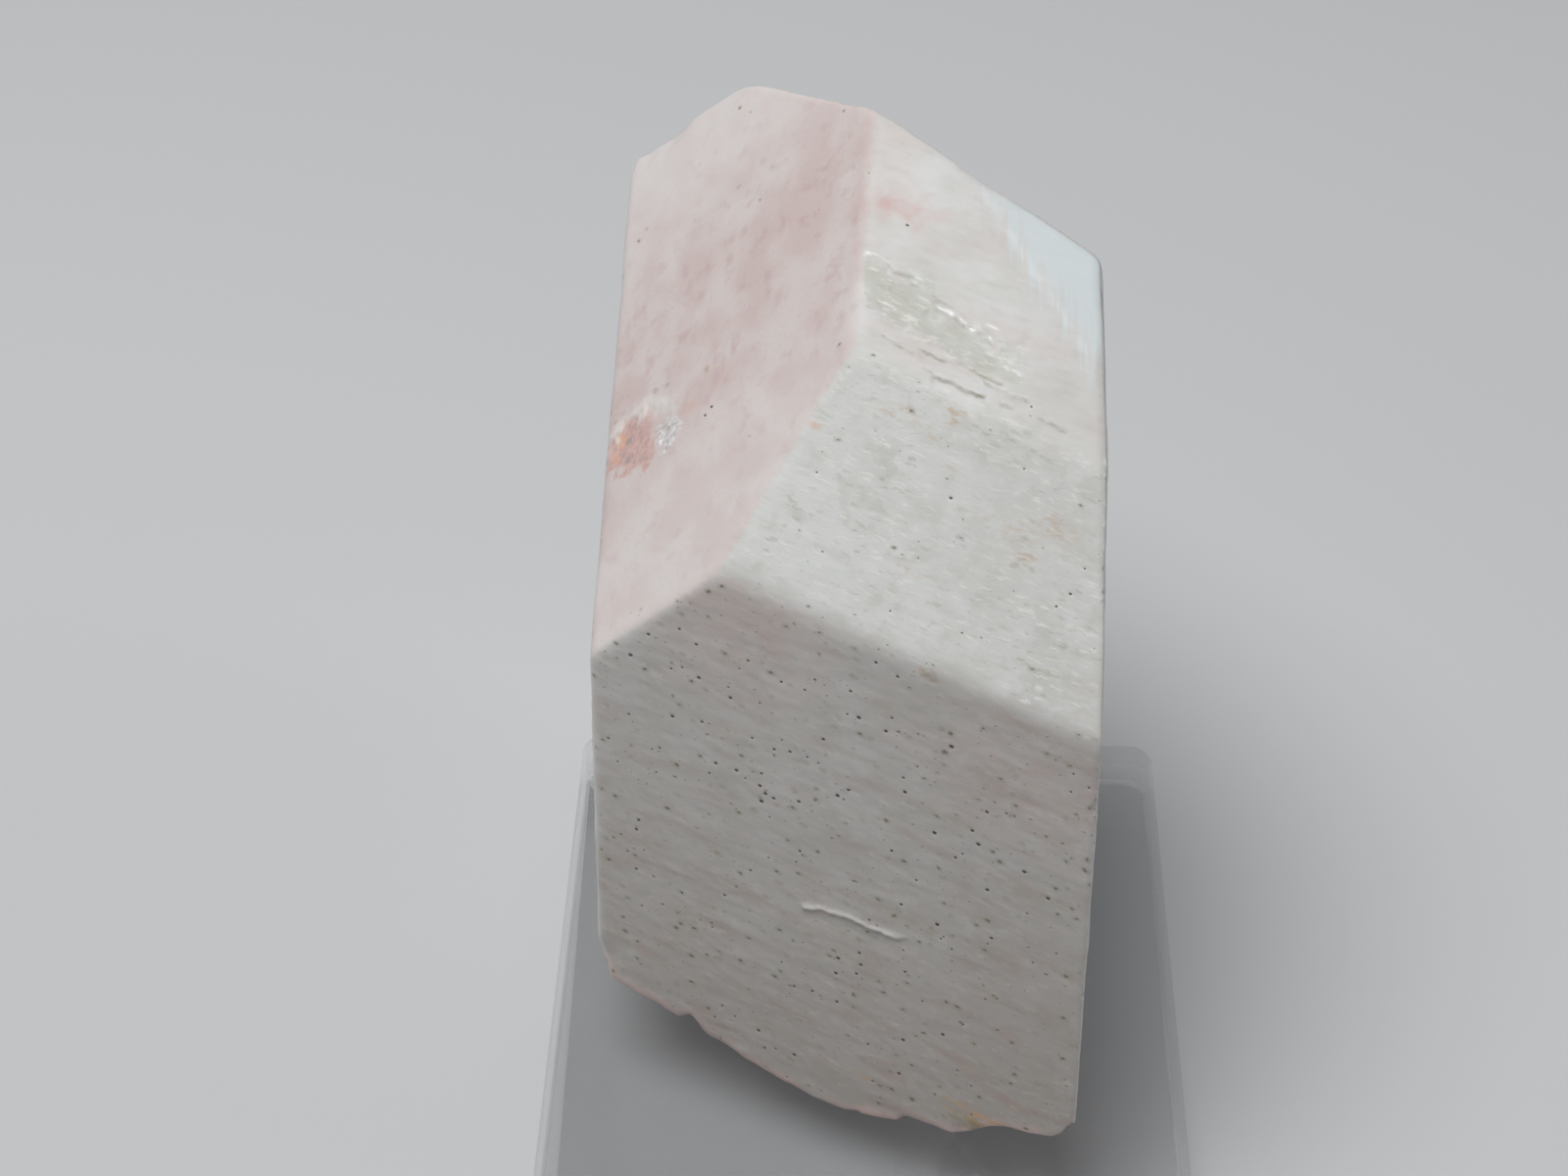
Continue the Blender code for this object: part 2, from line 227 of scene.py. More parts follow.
RUST_SPOTS = (
    ((2.3, -11.75, 29.05), 0.35, 1.0),
    ((4.9, -18.95, 6.35), 0.85, 1.0),
    ((6.2, -19.5, 6.3), 0.5, 0.8),
    ((-0.15, -16.8, 6.3), 0.4, 0.7),
    ((1.2, -3.1, 37.3), 0.4, 0.45),
    ((3.2, -3.4, 37.6), 0.4, 0.6),
    ((3.3, -3.8, 37.3), 0.4, 0.6),
    ((0.3, -2.9, 37.2), 0.5, 0.35),
    ((1.8, -3.6, 37.0), 0.4, 0.35),
    ((2.4, -4.3, 36.5), 0.4, 0.3),
    ((6.3, -7.9, 34.2), 0.8, 0.3),
    ((7.7, -8.0, 34.6), 0.9, 0.4),
    ((6.6, -8.8, 33.5), 0.4, 0.7),
    ((4.5, -7.1, 34.5), 0.4, 0.3),
    ((1.5, -8.4, 32.2), 0.4, 0.4),
    ((3.2, -5.4, 35.7), 0.4, 0.3),
    ((-8.4, 5.0, 33.0), 0.3, 0.5),
)
PINK_SPOTS = (
    ((0.8, 6.6, 41.5), 1.6, 0.4),
    ((0.8, 6.5, 41.5), 0.9, 0.9),
    ((6.5, -15.2, 25.0), 4.0, 0.2),
    ((4.9, 0.3, 39.6), 1.6, 0.15),
    ((7.6, -0.6, 39.0), 1.0, 0.15),
)
# Painted glints: white spots that stand in for highlights, glossier too
PAINTED_GLINT_SPOTS = (
    ((6.1, -6.6, 35.5), 0.12, 1.0),
    ((1.1, -8.2, 32.2), 0.14, 1.0),
    ((5.1, -3.7, 38.0), 0.14, 1.0),
    ((-3.2, -4.9, 34.1), 0.12, 1.0),
    ((7.2, -13.0, 29.6), 0.13, 1.0),
    ((6.6, -13.3, 29.1), 0.13, 1.0),
    ((-9.1, -7.8, 24.0), 0.15, 0.8),
)
SPECK_CLUSTERS = (
    ((-10.3, -7.2, 25.6), 2.6, 0.5),
    ((-4.4, -11.2, 20.2), 2.2, 0.45),
    ((2.7, -14.0, 21.2), 3.0, 0.35),
    ((-1.3, -14.3, 12.6), 2.6, 0.35),
)


def direction(azimuth, elevation):
    """Unit vector for an azimuth from the front towards the right and an elevation."""
    turn, rise = math.radians(azimuth), math.radians(elevation)
    level = math.cos(rise)
    return np.array((math.sin(turn) * level, -math.cos(turn) * level, math.sin(rise)))


NORMALS = np.array([direction(face[0], face[1]) for face in FACES.values()] + [(0.0, 0.0, -1.0)])
OFFSETS = np.array([face[2] for face in FACES.values()] + [0.0])
OFFSETS[:BASE] += NORMALS[:BASE] @ CRYSTAL_CENTRE
OFFSETS[BASE] = -crystal_box[0][2]
SPACINGS = np.array([face[3] for face in FACES.values()] + [BREAK_SPACING])

# The crystal's c axis, along which its faces are streaked, and two directions square to it
GRAIN = np.cross(NORMALS[UPPER_FRONT], NORMALS[FRONT])
GRAIN *= np.sign(GRAIN[0]) / np.linalg.norm(GRAIN)
GRAIN_FRAME = np.array((GRAIN, np.cross(NORMALS[FRONT], GRAIN), NORMALS[FRONT]))
# The crystal's own frame: across, along its a axis, and out of its top face
LEAN_FRAME = np.array((
    (1.0, 0.0, 0.0),
    (0.0, math.cos(CRYSTAL_LEAN), math.sin(CRYSTAL_LEAN)),
    (0.0, -math.sin(CRYSTAL_LEAN), math.cos(CRYSTAL_LEAN)),
))


def lattice(cell, seed):
    """Repeatable value from -1 to 1 for each whole-numbered place."""
    mixed = (cell[0] * 73856093) ^ (cell[1] * 19349663) ^ (cell[2] * 83492791) ^ (seed * 26544357)
    mixed = ((mixed ^ (mixed >> 13)) * 1274126177) & 0xFFFFFFFF
    return ((mixed ^ (mixed >> 16)) & 0xFFFF) / 32767.5 - 1.0


def noise(points, size, seed=0, plateau=0.0):
    """Noise from -1 to 1 with cells of the given size, smooth or with level plateaus."""
    scaled = points / size
    cell = np.floor(scaled)
    part = np.clip((scaled - cell - plateau) / (1.0 - 2.0 * plateau), 0.0, 1.0)
    ease = part * part * part * (part * (part * 6.0 - 15.0) + 10.0)
    cell = cell.astype(np.int64)
    total = np.zeros(len(points))
    for corner in np.ndindex(2, 2, 2):
        weight = np.ones(len(points))
        for axis in range(3):
            weight = weight * (ease[:, axis] if corner[axis] else 1.0 - ease[:, axis])
        total += weight * lattice([cell[:, axis] + corner[axis] for axis in range(3)], seed)
    return total


def layered(points, size, layers, seed=0):
    """Noise in layers, each at half the size and half the height of the one before."""
    total = np.zeros(len(points))
    for layer in range(layers):
        turned = points @ np.roll(LEAN_FRAME, layer, axis=1)
        total += noise(turned, size / 2.0 ** layer, seed + layer) / 2.0 ** layer
    return total


def ramp(values, low, high):
    """Smooth step from 0 at low to 1 at high."""
    part = np.clip((values - low) / (high - low), 0.0, 1.0)
    return part * part * (3.0 - 2.0 * part)


def in_grain(points):
    """Places from the crystal's middle: along its grain, up the front face, and out of it."""
    return (points - CRYSTAL_CENTRE) @ GRAIN_FRAME.T


def in_crystal(points):
    """Places from the crystal's middle: across, along its a axis, and out of its top face."""
    return (points - CRYSTAL_CENTRE) @ LEAN_FRAME.T


def on_face(face, across, other):
    """Place on a face, from its distance across and its height, or on top its distance away."""
    place = np.zeros(3)
    solved = 1 if face == FRONT else 2
    place[0] = across
    place[3 - solved] = other
    place[solved] = (OFFSETS[face] - NORMALS[face] @ place) / NORMALS[face][solved]
    return place


def break_height(points):
    """Height of the broken base under each place."""
    x, y = points[:, 0], points[:, 1]
    rim_x, rim_z = np.array(BREAK_RIM).T
    rim = np.interp(x, rim_x, rim_z)
    behind = (y - BREAK_FRONT_Y - BREAK_FRONT_SKEW * x) / BREAK_FADE
    fade = 1.0 - ramp(behind, 0.0, 1.0)
    level = np.column_stack((x, y, np.zeros(len(x))))
    ledges = 1.0 + noise(level, 4.5, 5, 0.36) + 0.5 * noise(level, 2.1, 6, 0.36)
    rough = 0.45 * ledges + 0.12 * (1.0 + layered(level, 0.9, 3, 9) / 1.75)
    lowest = crystal_box[0][2]
    return lowest + (rim - lowest) * fade + np.maximum(rough, 0.0) * ramp(behind, 0.02, 0.3)


def base_gap(points):
    """How far each place lies below the broken base, worked out only near it."""
    gap = BREAK_TOP - 6.0 - points[:, 2]
    near = points[:, 2] < BREAK_TOP
    gap[near] = break_height(points[near]) - points[near, 2]
    return gap


def chip_field(points, seed, centre, radii, turn):
    """How deep each place lies inside one chip, negative outside it."""
    angle = math.radians(turn)
    offset = points - np.array(centre)
    depth = np.full(len(points), -1.0)
    near = np.linalg.norm(offset, axis=1) < 1.6 * max(radii)
    offset = offset[near]
    x = offset[:, 0] * math.cos(angle) + offset[:, 1] * math.sin(angle)
    y = -offset[:, 0] * math.sin(angle) + offset[:, 1] * math.cos(angle)
    scaled = np.column_stack((x, y, offset[:, 2])) / np.array(radii)
    bumpy = 1.0 + CHIP_ROUGHNESS * layered(points[near], 1.3, 3, 20 + seed) * 0.6
    depth[near] = (bumpy - np.linalg.norm(scaled, axis=1)) * min(radii)
    return depth


def soft_max(first, second, blend):
    """Larger of two values, rounded where they are close."""
    near = np.maximum(1.0 - np.abs(first - second) / blend, 0.0)
    return np.maximum(first, second) + 0.25 * blend * near * near


def face_gaps(points):
    """How far each place lies outside each face."""
    gaps = points @ NORMALS.T - OFFSETS
    gaps[:, BASE] = base_gap(points)
    return gaps


def outside(points):
    """How far each place lies outside the crystal, with its rounded edges and chips."""
    gaps = face_gaps(points)
    blend = EDGE_BLEND * (1.0 + 0.35 * noise(points, 2.6, 3))
    total = gaps[:, 0]
    for face in range(1, len(NAMES)):
        total = soft_max(total, gaps[:, face], blend)
    for seed, chip in enumerate(CHIPS):
        total = np.maximum(total, chip_field(points, seed, *chip))
    return total


def face_weights(points, sharpness):
    """Share of each face in the surface at each place."""
    gaps = face_gaps(points)
    nearness = np.exp((gaps - gaps.max(axis=1, keepdims=True)) / sharpness)
    return nearness / nearness.sum(axis=1, keepdims=True)


def face_axes(face):
    """Two directions in the plane of a face, turning counter-clockwise about its outward one."""
    outward = NORMALS[face]
    if face == BASE:
        return np.array((1.0, 0.0, 0.0)), np.array((0.0, -1.0, 0.0))
    across = GRAIN - outward * (GRAIN @ outward)
    across /= np.linalg.norm(across)
    return across, np.cross(outward, across)


def cut_outline(corners, sides, other):
    """Keep the part of a face's outline that lies inside another face's plane."""
    heights = [NORMALS[other] @ corner - OFFSETS[other] for corner in corners]
    kept, kept_sides = [], []
    for place, corner in enumerate(corners):
        following = (place + 1) % len(corners)
        here, there = heights[place], heights[following]
        if here <= 0.0:
            kept.append(corner)
            kept_sides.append(sides[place])
        if (here <= 0.0) != (there <= 0.0):
            kept.append(corner + (corners[following] - corner) * here / (here - there))
            kept_sides.append(other if here <= 0.0 else sides[place])
    return kept, kept_sides


def face_outline(face):
    """Corners of one face, and for each the neighbour across the side that starts there."""
    across, up = face_axes(face)
    middle = NORMALS[face] * OFFSETS[face]
    reach = 200.0
    signs = ((-1, -1), (1, -1), (1, 1), (-1, 1))
    corners = [middle + reach * (a * across + b * up) for a, b in signs]
    sides = [None] * 4
    for other in range(len(NAMES)):
        if other != face:
            corners, sides = cut_outline(corners, sides, other)
    return corners, sides


def climb_to_break(points, along):
    """Slide places along a rising direction until they meet the broken base."""
    for _ in range(30):
        gap = break_height(points) - points[:, 2]
        points = points + 0.6 * gap[:, None] * along / along[2]
    return points


def side_points(first, second, start, end):
    """Places along the side that two faces share, without its ends."""
    visible = first in VISIBLE or second in VISIBLE
    spacing = VISIBLE_EDGE_SPACING if visible else HIDDEN_EDGE_SPACING
    count = max(int(round(np.linalg.norm(end - start) / spacing)), 1)
    parts = np.arange(1, count)[:, None] / count
    points = start + (end - start) * parts
    if BASE in (first, second) and len(points):
        wall = NORMALS[first if second == BASE else second]
        points = climb_to_break(points, np.array((0.0, 0.0, 1.0)) - wall * wall[2])
    return points


def wanted_spacing(points, face, room):
    """Mesh spacing wanted at each place of a face, finer near its edges and in the fine zones."""
    spacing = np.full(len(points), SPACINGS[face])
    edge = VISIBLE_EDGE_SPACING if face in VISIBLE else HIDDEN_EDGE_SPACING
    spacing[room < NEAR_EDGE] = min(edge, SPACINGS[face])
    for middle, radius, fine in FINE_ZONES:
        near = np.linalg.norm(points - np.array(middle), axis=1) < radius
        spacing[near] = np.minimum(spacing[near], fine)
    return spacing


def room_on_face(points, face):
    """Distance of places on a face from its nearest side, negative beyond it."""
    others = [other for other in range(len(NAMES)) if other != face]
    slant = NORMALS[others] @ NORMALS[face]
    slope = np.sqrt(np.maximum(1.0 - slant * slant, 0.05))
    return (-face_gaps(points)[:, others] / slope).min(axis=1)


def ring_pits(face, points, pits):
    """Places of a face with rings of them set round each pit in place of the rows there."""
    across, up = face_axes(face)
    turns = np.arange(PIT_RING_POINTS)[:, None] * math.tau / PIT_RING_POINTS
    ring = PIT_STRETCH * np.cos(turns) * across + np.sin(turns) * up
    for middle, radius in pits:
        offset = points - middle
        distance = np.hypot(offset @ across / PIT_STRETCH, offset @ up) / radius
        rings = [middle + radius * share * ring for share in PIT_RINGS]
        added = np.concatenate([middle[None]] + rings)
        added = added[room_on_face(added, face) > 0.02]
        points = np.concatenate((points[distance > 1.4], added))
    return points


def inside_points(face, outline):
    """Places spread over the inside of one face, in rows of the spacing wanted there."""
    across, up = face_axes(face)
    flat = np.array([(corner @ across, corner @ up) for corner in outline])
    low, high = flat.min(axis=0) - 6.0, flat.max(axis=0) + 6.0
    edge = VISIBLE_EDGE_SPACING if face in VISIBLE else HIDDEN_EDGE_SPACING
    spacings = {SPACINGS[face], min(edge, SPACINGS[face])} | {zone[2] for zone in FINE_ZONES}
    found = []
    for spacing in sorted(spacings):
        rows = np.arange(low[1], high[1], spacing * math.sqrt(0.75))
        u, v = np.meshgrid(np.arange(low[0], high[0], spacing), rows)
        u = u + 0.5 * spacing * (np.arange(len(rows)) % 2)[:, None]
        points = u.reshape(-1, 1) * across + v.reshape(-1, 1) * up
        if face == BASE:
            points[:, 2] = break_height(points)
        else:
            points += NORMALS[face] * OFFSETS[face]
        room = room_on_face(points, face)
        wanted = wanted_spacing(points, face, room)
        found.append(points[(room > 0.5 * spacing) & (np.abs(wanted - spacing) < 1e-6)])
    return np.concatenate(found)


class Surface:
    """The crystal's flat faces and broken base as one mesh, joined along shared sides."""

    def __init__(self, pits):
        self.pits = pits
        self.points = []
        self.triangles = []
        self.corners = {}
        self.sides = {}
        outlines = [face_outline(face) for face in range(len(NAMES))]
        for face, (corners, sides) in enumerate(outlines):
            for place, corner in enumerate(corners):
                self.add_corner(frozenset((face, sides[place - 1], sides[place])), corner)
        for face, (corners, sides) in enumerate(outlines):
            loop = []
            for place in range(len(corners)):
                loop += self.side_loop(face, sides, place)
            self.fill(face, corners, loop)

    def add_points(self, points):
        first = len(self.points)
        self.points.extend(points)
        return list(range(first, len(self.points)))

    def add_corner(self, key, corner):
        """Keep one corner, slid up to the broken base where it borders on it."""
        if key in self.corners:
            return
        point = np.array([corner])
        if BASE in key:
            walls = [NORMALS[wall] for wall in key if wall != BASE]
            along = np.cross(*walls)
            point = climb_to_break(point, along * np.sign(along[2]))
        self.corners[key] = self.add_points(point)[0]

    def side_loop(self, face, sides, place):
        """Numbers of the points from one corner of a face up to the next one."""
        start = self.corners[frozenset((face, sides[place - 1], sides[place]))]
        following = sides[(place + 1) % len(sides)]
        end = self.corners[frozenset((face, sides[place], following))]
        key = frozenset((face, sides[place]))
        if key not in self.sides:
            between = side_points(face, sides[place], self.points[start], self.points[end])
            self.sides[key] = (start, self.add_points(between))
        first, between = self.sides[key]
        return [start] + (between if first == start else between[::-1])

    def fill(self, face, corners, loop):
        """Triangles of one face inside its loop of side points."""
        across, up = face_axes(face)
        inside = ring_pits(face, inside_points(face, corners), self.pits[face])
        numbers = loop + self.add_points(inside)
        local = np.array([self.points[number] for number in numbers])
        flat = [Vector(pair) for pair in zip(local @ across, local @ up)]
        ring = [(step, (step + 1) % len(loop)) for step in range(len(loop))]
        result = delaunay_2d_cdt(flat, ring, [], 1, 1e-6)
        origins = [numbers[source[0]] for source in result[3]]
        self.triangles += [tuple(origins[corner] for corner in part) for part in result[2]]


def settle(points, weights):
    """Move the flat surface onto the rounded, chipped one, and give its outward directions."""
    outward = weights @ NORMALS
    outward /= np.linalg.norm(outward, axis=1, keepdims=True)
    for _ in range(12):
        points = points - 0.8 * outside(points)[:, None] * outward
    return points, outward


def beside_line(points, line, axis):
    """Distance below a line across a face, and a mask that fades at the line's ends."""
    across, level = np.array(line).T
    x = points[:, 0]
    ragged = 0.07 * noise(points, 0.45, 41) + 0.04 * noise(points, 0.2, 42)
    below = np.interp(x, across, level) - points[:, axis] + ragged
    ends = ramp(x, across[0] - 0.1, across[0] + 0.15)
    ends *= 1.0 - ramp(x, across[-1] - 0.15, across[-1] + 0.1)
    return below, ends


def add_ledges(points, weights, marks):
    """Cleavage ledges of the top: their relief, the painted glints on their lips and the painted shade under
    them.
    """
    relief = np.zeros(len(points))
    share = weights[:, TOP] + weights[:, UPPER_FRONT]
    broken = 0.12 + 0.88 * ramp(noise(in_grain(points), np.array((0.4, 0.2, 0.2)), 43), -0.35, 0.25)
    for line, drop, painted_glint, dirt_and_painted_shade in LEDGES:
        below, ends = beside_line(points, line, 1)
        ends = ends * share
        wall = ramp(below, 0.0, LEDGE_WALL) * (1.0 - ramp(below, LEDGE_WALL, LEDGE_RECOVERY))
        relief -= 0.6 * drop * wall * ends
        lip = np.exp(-((below + 0.04) / 0.08) ** 2) * ends * broken
        # Painted shade in a thin dark line under each ledge
        under = np.exp(-((below - 0.6 * LEDGE_WALL) / 0.06) ** 2) * ends * broken
        marks["painted_glint"] = np.maximum(marks["painted_glint"], painted_glint * lip)
        marks["dirt_and_painted_shade"] = np.maximum(marks["dirt_and_painted_shade"], dirt_and_painted_shade * np.sqrt(under))
    return relief


def add_lip(points, weights, marks):
    """Raised lip on the front face, with the hollow under it and a painted highlight along its top."""
    below, ends = beside_line(points, FRONT_LIP, 2)
    ends = ends * weights[:, FRONT] * (1.0 - ramp(points[:, 0], 0.9, FRONT_LIP[-1][0] + 0.1))
    raised = np.exp(-np.maximum(-below, 0.0) / 0.2) * (1.0 - ramp(below, 0.0, 0.18))
    hollow = ramp(below, 0.0, 0.2) * (1.0 - ramp(below, 0.3, 1.5))
    # Painted highlight along the top of the lip
    pale_and_painted_highlight = 0.8 * np.exp(-((below + 0.06) / 0.14) ** 2) * ends
    tinge = np.exp(-((below - 0.16) / 0.14) ** 2) * ends
    tinge *= 1.0 - ramp(points[:, 0], FRONT_LIP[0][0] + 0.5, FRONT_LIP[4][0])
    marks["pale_and_painted_highlight"] = np.maximum(marks["pale_and_painted_highlight"], pale_and_painted_highlight)
    marks["pink"] = np.maximum(marks["pink"], 0.45 * tinge)
    return (0.12 * raised - 0.07 * hollow) * ends


def dent_shifts(points):
    """Moves that press small dents into the edges, each straight in between its faces."""
    shifts = np.zeros(points.shape)
    ragged = 1.0 + 0.15 * noise(points, 1.4, 45)
    for middle, radius, depth in DENTS:
        middle = np.array([middle])
        outward = face_weights(middle, 1.0)[0] @ NORMALS
        outward /= np.linalg.norm(outward)
        distance = np.linalg.norm(points - middle, axis=1) / radius * ragged
        shifts -= depth * (1.0 - ramp(distance, 0.0, 1.0))[:, None] * outward
    return shifts


def scattered_pits(face, density, random):
    """Middles and radii of pits spread over one face."""
    across, up = face_axes(face)
    corners = np.array(face_outline(face)[0])
    flat = np.column_stack((corners @ across, corners @ up))
    low, high = flat.min(axis=0), flat.max(axis=0)
    count = int(density * 0.01 * np.prod(high - low))
    places = low + (high - low) * random.random((count, 2))
    radii = PIT_RADII[0] + (PIT_RADII[1] - PIT_RADII[0]) * random.random(count) ** 2
    points = places[:, :1] * across + places[:, 1:] * up + NORMALS[face] * OFFSETS[face]
    gaps = face_gaps(points)
    gaps[:, face] = -9.0
    inside = gaps.max(axis=1) < -PIT_MARGIN
    return list(zip(points[inside], radii[inside]))


def face_pits():
    """Small dark pits of each face: those that stand out, and scattered smaller ones."""
    random = np.random.default_rng(PIT_SEED)
    found = {}
    for face in range(len(NAMES)):
        placed = PLACED_PITS.get(face, ())
        found[face] = [(on_face(face, a, b), PIT_SHARE * radius) for a, b, radius in placed]
        if face in PIT_DENSITIES:
            found[face] += scattered_pits(face, PIT_DENSITIES[face], random)
    return found


def add_pits(points, weights, pits, marks):
    """Relief and darkness of the small pits."""
    relief = np.zeros(len(points))
    for face, places in pits.items():
        across, up = face_axes(face)
        chosen = np.flatnonzero(weights[:, face] > 0.5)
        local = points[chosen]
        for middle, radius in places:
            offset = local - middle
            distance = np.hypot(offset @ across / PIT_STRETCH, offset @ up) / radius
            hollow = 1.0 - ramp(distance, 0.1, 1.1)
            relief[chosen] = np.minimum(relief[chosen], -0.5 * radius * hollow)
            marks["dark"][chosen] = np.maximum(marks["dark"][chosen], 1.0 - ramp(distance, 0.4, 1.1))
    return relief


def add_wound(points, weights, marks):
    """Chipped place on the pink face: red and hollow on its left, crystalline on its right, with painted
    shade along its cracks and painted glints among its crystals.
    """
    offset = points - WOUND_CENTRE
    along = offset @ WOUND_ALONG
    across = offset @ np.cross(NORMALS[PINK_SIDE], WOUND_ALONG)
    size = np.hypot(along / WOUND_HALF_LENGTHS[0], across / WOUND_HALF_LENGTHS[1])
    share = weights[:, PINK_SIDE] + weights[:, LEFT]
    inside = (1.0 - size + 0.26 * layered(points, 0.9, 3, 31)) * share - 4.0 * (1.0 - share)
    blocks = noise(in_crystal(points), 0.8, 33, 0.38) + 0.6 * noise(in_crystal(points), 0.37, 34, 0.38)
    ragged = layered(points, 0.5, 2, 35)
    filled = ramp(inside, 0.0, 0.14)
    marks["wound"] = filled * (1.0 - ramp(along + 0.15 * ragged + 0.4 * across, 0.2, 1.1))
    # Crystalline part of the chip: real blocky relief, with painted glints in the material
    glitter = 1.1 - np.hypot((along - 1.9) / 1.2, (across + 0.3) / 1.1) + 0.3 * ragged
    marks["crystalline_and_painted_glints"] = ramp(glitter, 0.0, 0.5) * share
    rim = np.exp(-((inside - 0.1) / 0.16) ** 2) * ramp(across + 0.5 * ragged, -0.2, 0.6)
    marks["pale_and_painted_highlight"] = np.maximum(marks["pale_and_painted_highlight"], 0.75 * rim)
    # Painted shade along the cracks between the blocks
    crack_shade_lines = (1.0 - ramp(np.abs(blocks + 0.25), 0.0, 0.14)) * ramp(inside, 0.1, 0.3)
    marks["painted_crack_shade"] = crack_shade_lines * marks["wound"]
    return -ramp(inside, 0.0, 0.3) * (0.12 + (0.03 + 0.06 * marks["crystalline_and_painted_glints"]) * blocks)


def add_spots(points, marks):
    """Coloured spots, and the density of the fine dark specks."""
    spot_lists = {
        "rust": RUST_SPOTS, "orange": ORANGE_SPOTS, "pink": PINK_SPOTS, "painted_glint": PAINTED_GLINT_SPOTS,
        "dirt_and_painted_shade": DIRT_SPOTS,
    }
    ragged = 0.35 * layered(points, 0.5, 3, 51)
    squeeze = np.array((0.45, 1.0, 1.0))
    grain = in_grain(points) * squeeze
    for name, spots in spot_lists.items():
        for middle, radius, strength in spots:
            offset = grain - in_grain(np.array([middle])) * squeeze
            distance = np.linalg.norm(offset, axis=1) / (radius * 0.75) + ragged
            spot = strength * (1.0 - ramp(distance, 0.45, 1.25))
            marks[name] = np.maximum(marks[name], spot)
    for middle, radius, strength in SPECK_CLUSTERS:
        distance = np.linalg.norm(points - np.array(middle), axis=1) / radius
        marks["speck"] += strength * (1.0 - ramp(distance, 0.2, 1.2))


def add_regions(points, weights, marks):
    """Large soft regions: the grey cleavage band, the bluish corner with its painted reflection, the reddish
    broken rims, and the painted shade and painted light.
    """
    x, y = points[:, 0], points[:, 1]
    far = np.interp(x, *np.array(BAND_FAR).T) - y
    near = y - np.interp(x, *np.array(BAND_NEAR).T)
    ends = np.minimum(x - BAND_ENDS[0], BAND_ENDS[1] - x)
    band = np.minimum(np.minimum(far, near), ends)
    marks["band"] = band * weights[:, TOP] - 2.0 * (1.0 - weights[:, TOP])
    # Bluish corner of the top: its colour is a painted reflection, and it is raised and glossier
    border = (x - 4.1) * 0.875 + (y - 7.9) * 0.485
    marks["painted_reflection_corner"] = border * weights[:, TOP] - 3.0 * (1.0 - weights[:, TOP])
    rim = 1.0 - ramp(-face_gaps(points)[:, BASE], 0.1, 0.9)
    reddish = 0.85 * rim * ramp(layered(points, 2.5, 2, 61), -0.6, 0.4)
    marks["pink"] = np.maximum(marks["pink"], reddish)
    apex = np.linalg.norm(points - BLUSH_MIDDLE, axis=1)
    blush = 0.3 * weights[:, FRONT] * (1.0 - ramp(apex, 1.0, BLUSH_REACH))
    marks["pink"] = np.maximum(marks["pink"], blush)
    rosy = 0.17 * weights[:, TOP] * ramp(layered(points, 2.8, 2, 64), -0.3, 0.9)
    marks["pink"] = np.maximum(marks["pink"], rosy)
    marks["broken"] = np.maximum(weights[:, BASE], weights[:, BROKEN_BACK])
    # Painted shade: the front face darker, most towards its bottom and its right; the back face, and the
    # right of the upper front and the top, darker too
    lower = 1.0 - ramp(points[:, 2], 3.0, 27.0)
    marks["shade"] = weights[:, FRONT] * (1.35 + 1.2 * lower + 0.5 * ramp(x, -2.0, 10.0))
    marks["shade"] += 0.8 * weights[:, BACK] + 0.3 * weights[:, UPPER_FRONT] * ramp(x, 1.0, 9.0)
    marks["shade"] += 0.5 * weights[:, TOP] * ramp(x, 4.0, 9.0) * (1.0 - ramp(y, 0.5, 4.0))
    # Painted light: the upper front face lighter, most towards its left
    marks["lift"] = weights[:, UPPER_FRONT] * (1.1 - 0.7 * ramp(x, -5.0, 9.0))
    marks["faded"] = ramp(y, 10.0, 21.0) + 0.6 * ramp(-y, -5.0, 3.0)
    patches = ramp(layered(points, 2.6, 2, 63), -0.5, 0.5)
    in_band = ramp(marks["band"], -0.8, 0.2)
    marks["hair"] = weights[:, UPPER_FRONT] * (0.45 + 0.55 * patches) + in_band + 0.17 * weights[:, FRONT]
    density = {FRONT: 0.85, UPPER_FRONT: 0.12, PINK_SIDE: 0.03, BACK: 0.35, TOP: 0.0}
    for face in range(len(NAMES)):
        marks["speck"] += density.get(face, 0.15) * weights[:, face]
    marks["recess"] = ramp(far + 0.2 * layered(points, 0.7, 2, 91), 0.0, 0.25)
    marks["recess"] *= ramp(near, 0.0, 1.3) * ramp(ends, 0.0, 1.3) * weights[:, TOP]


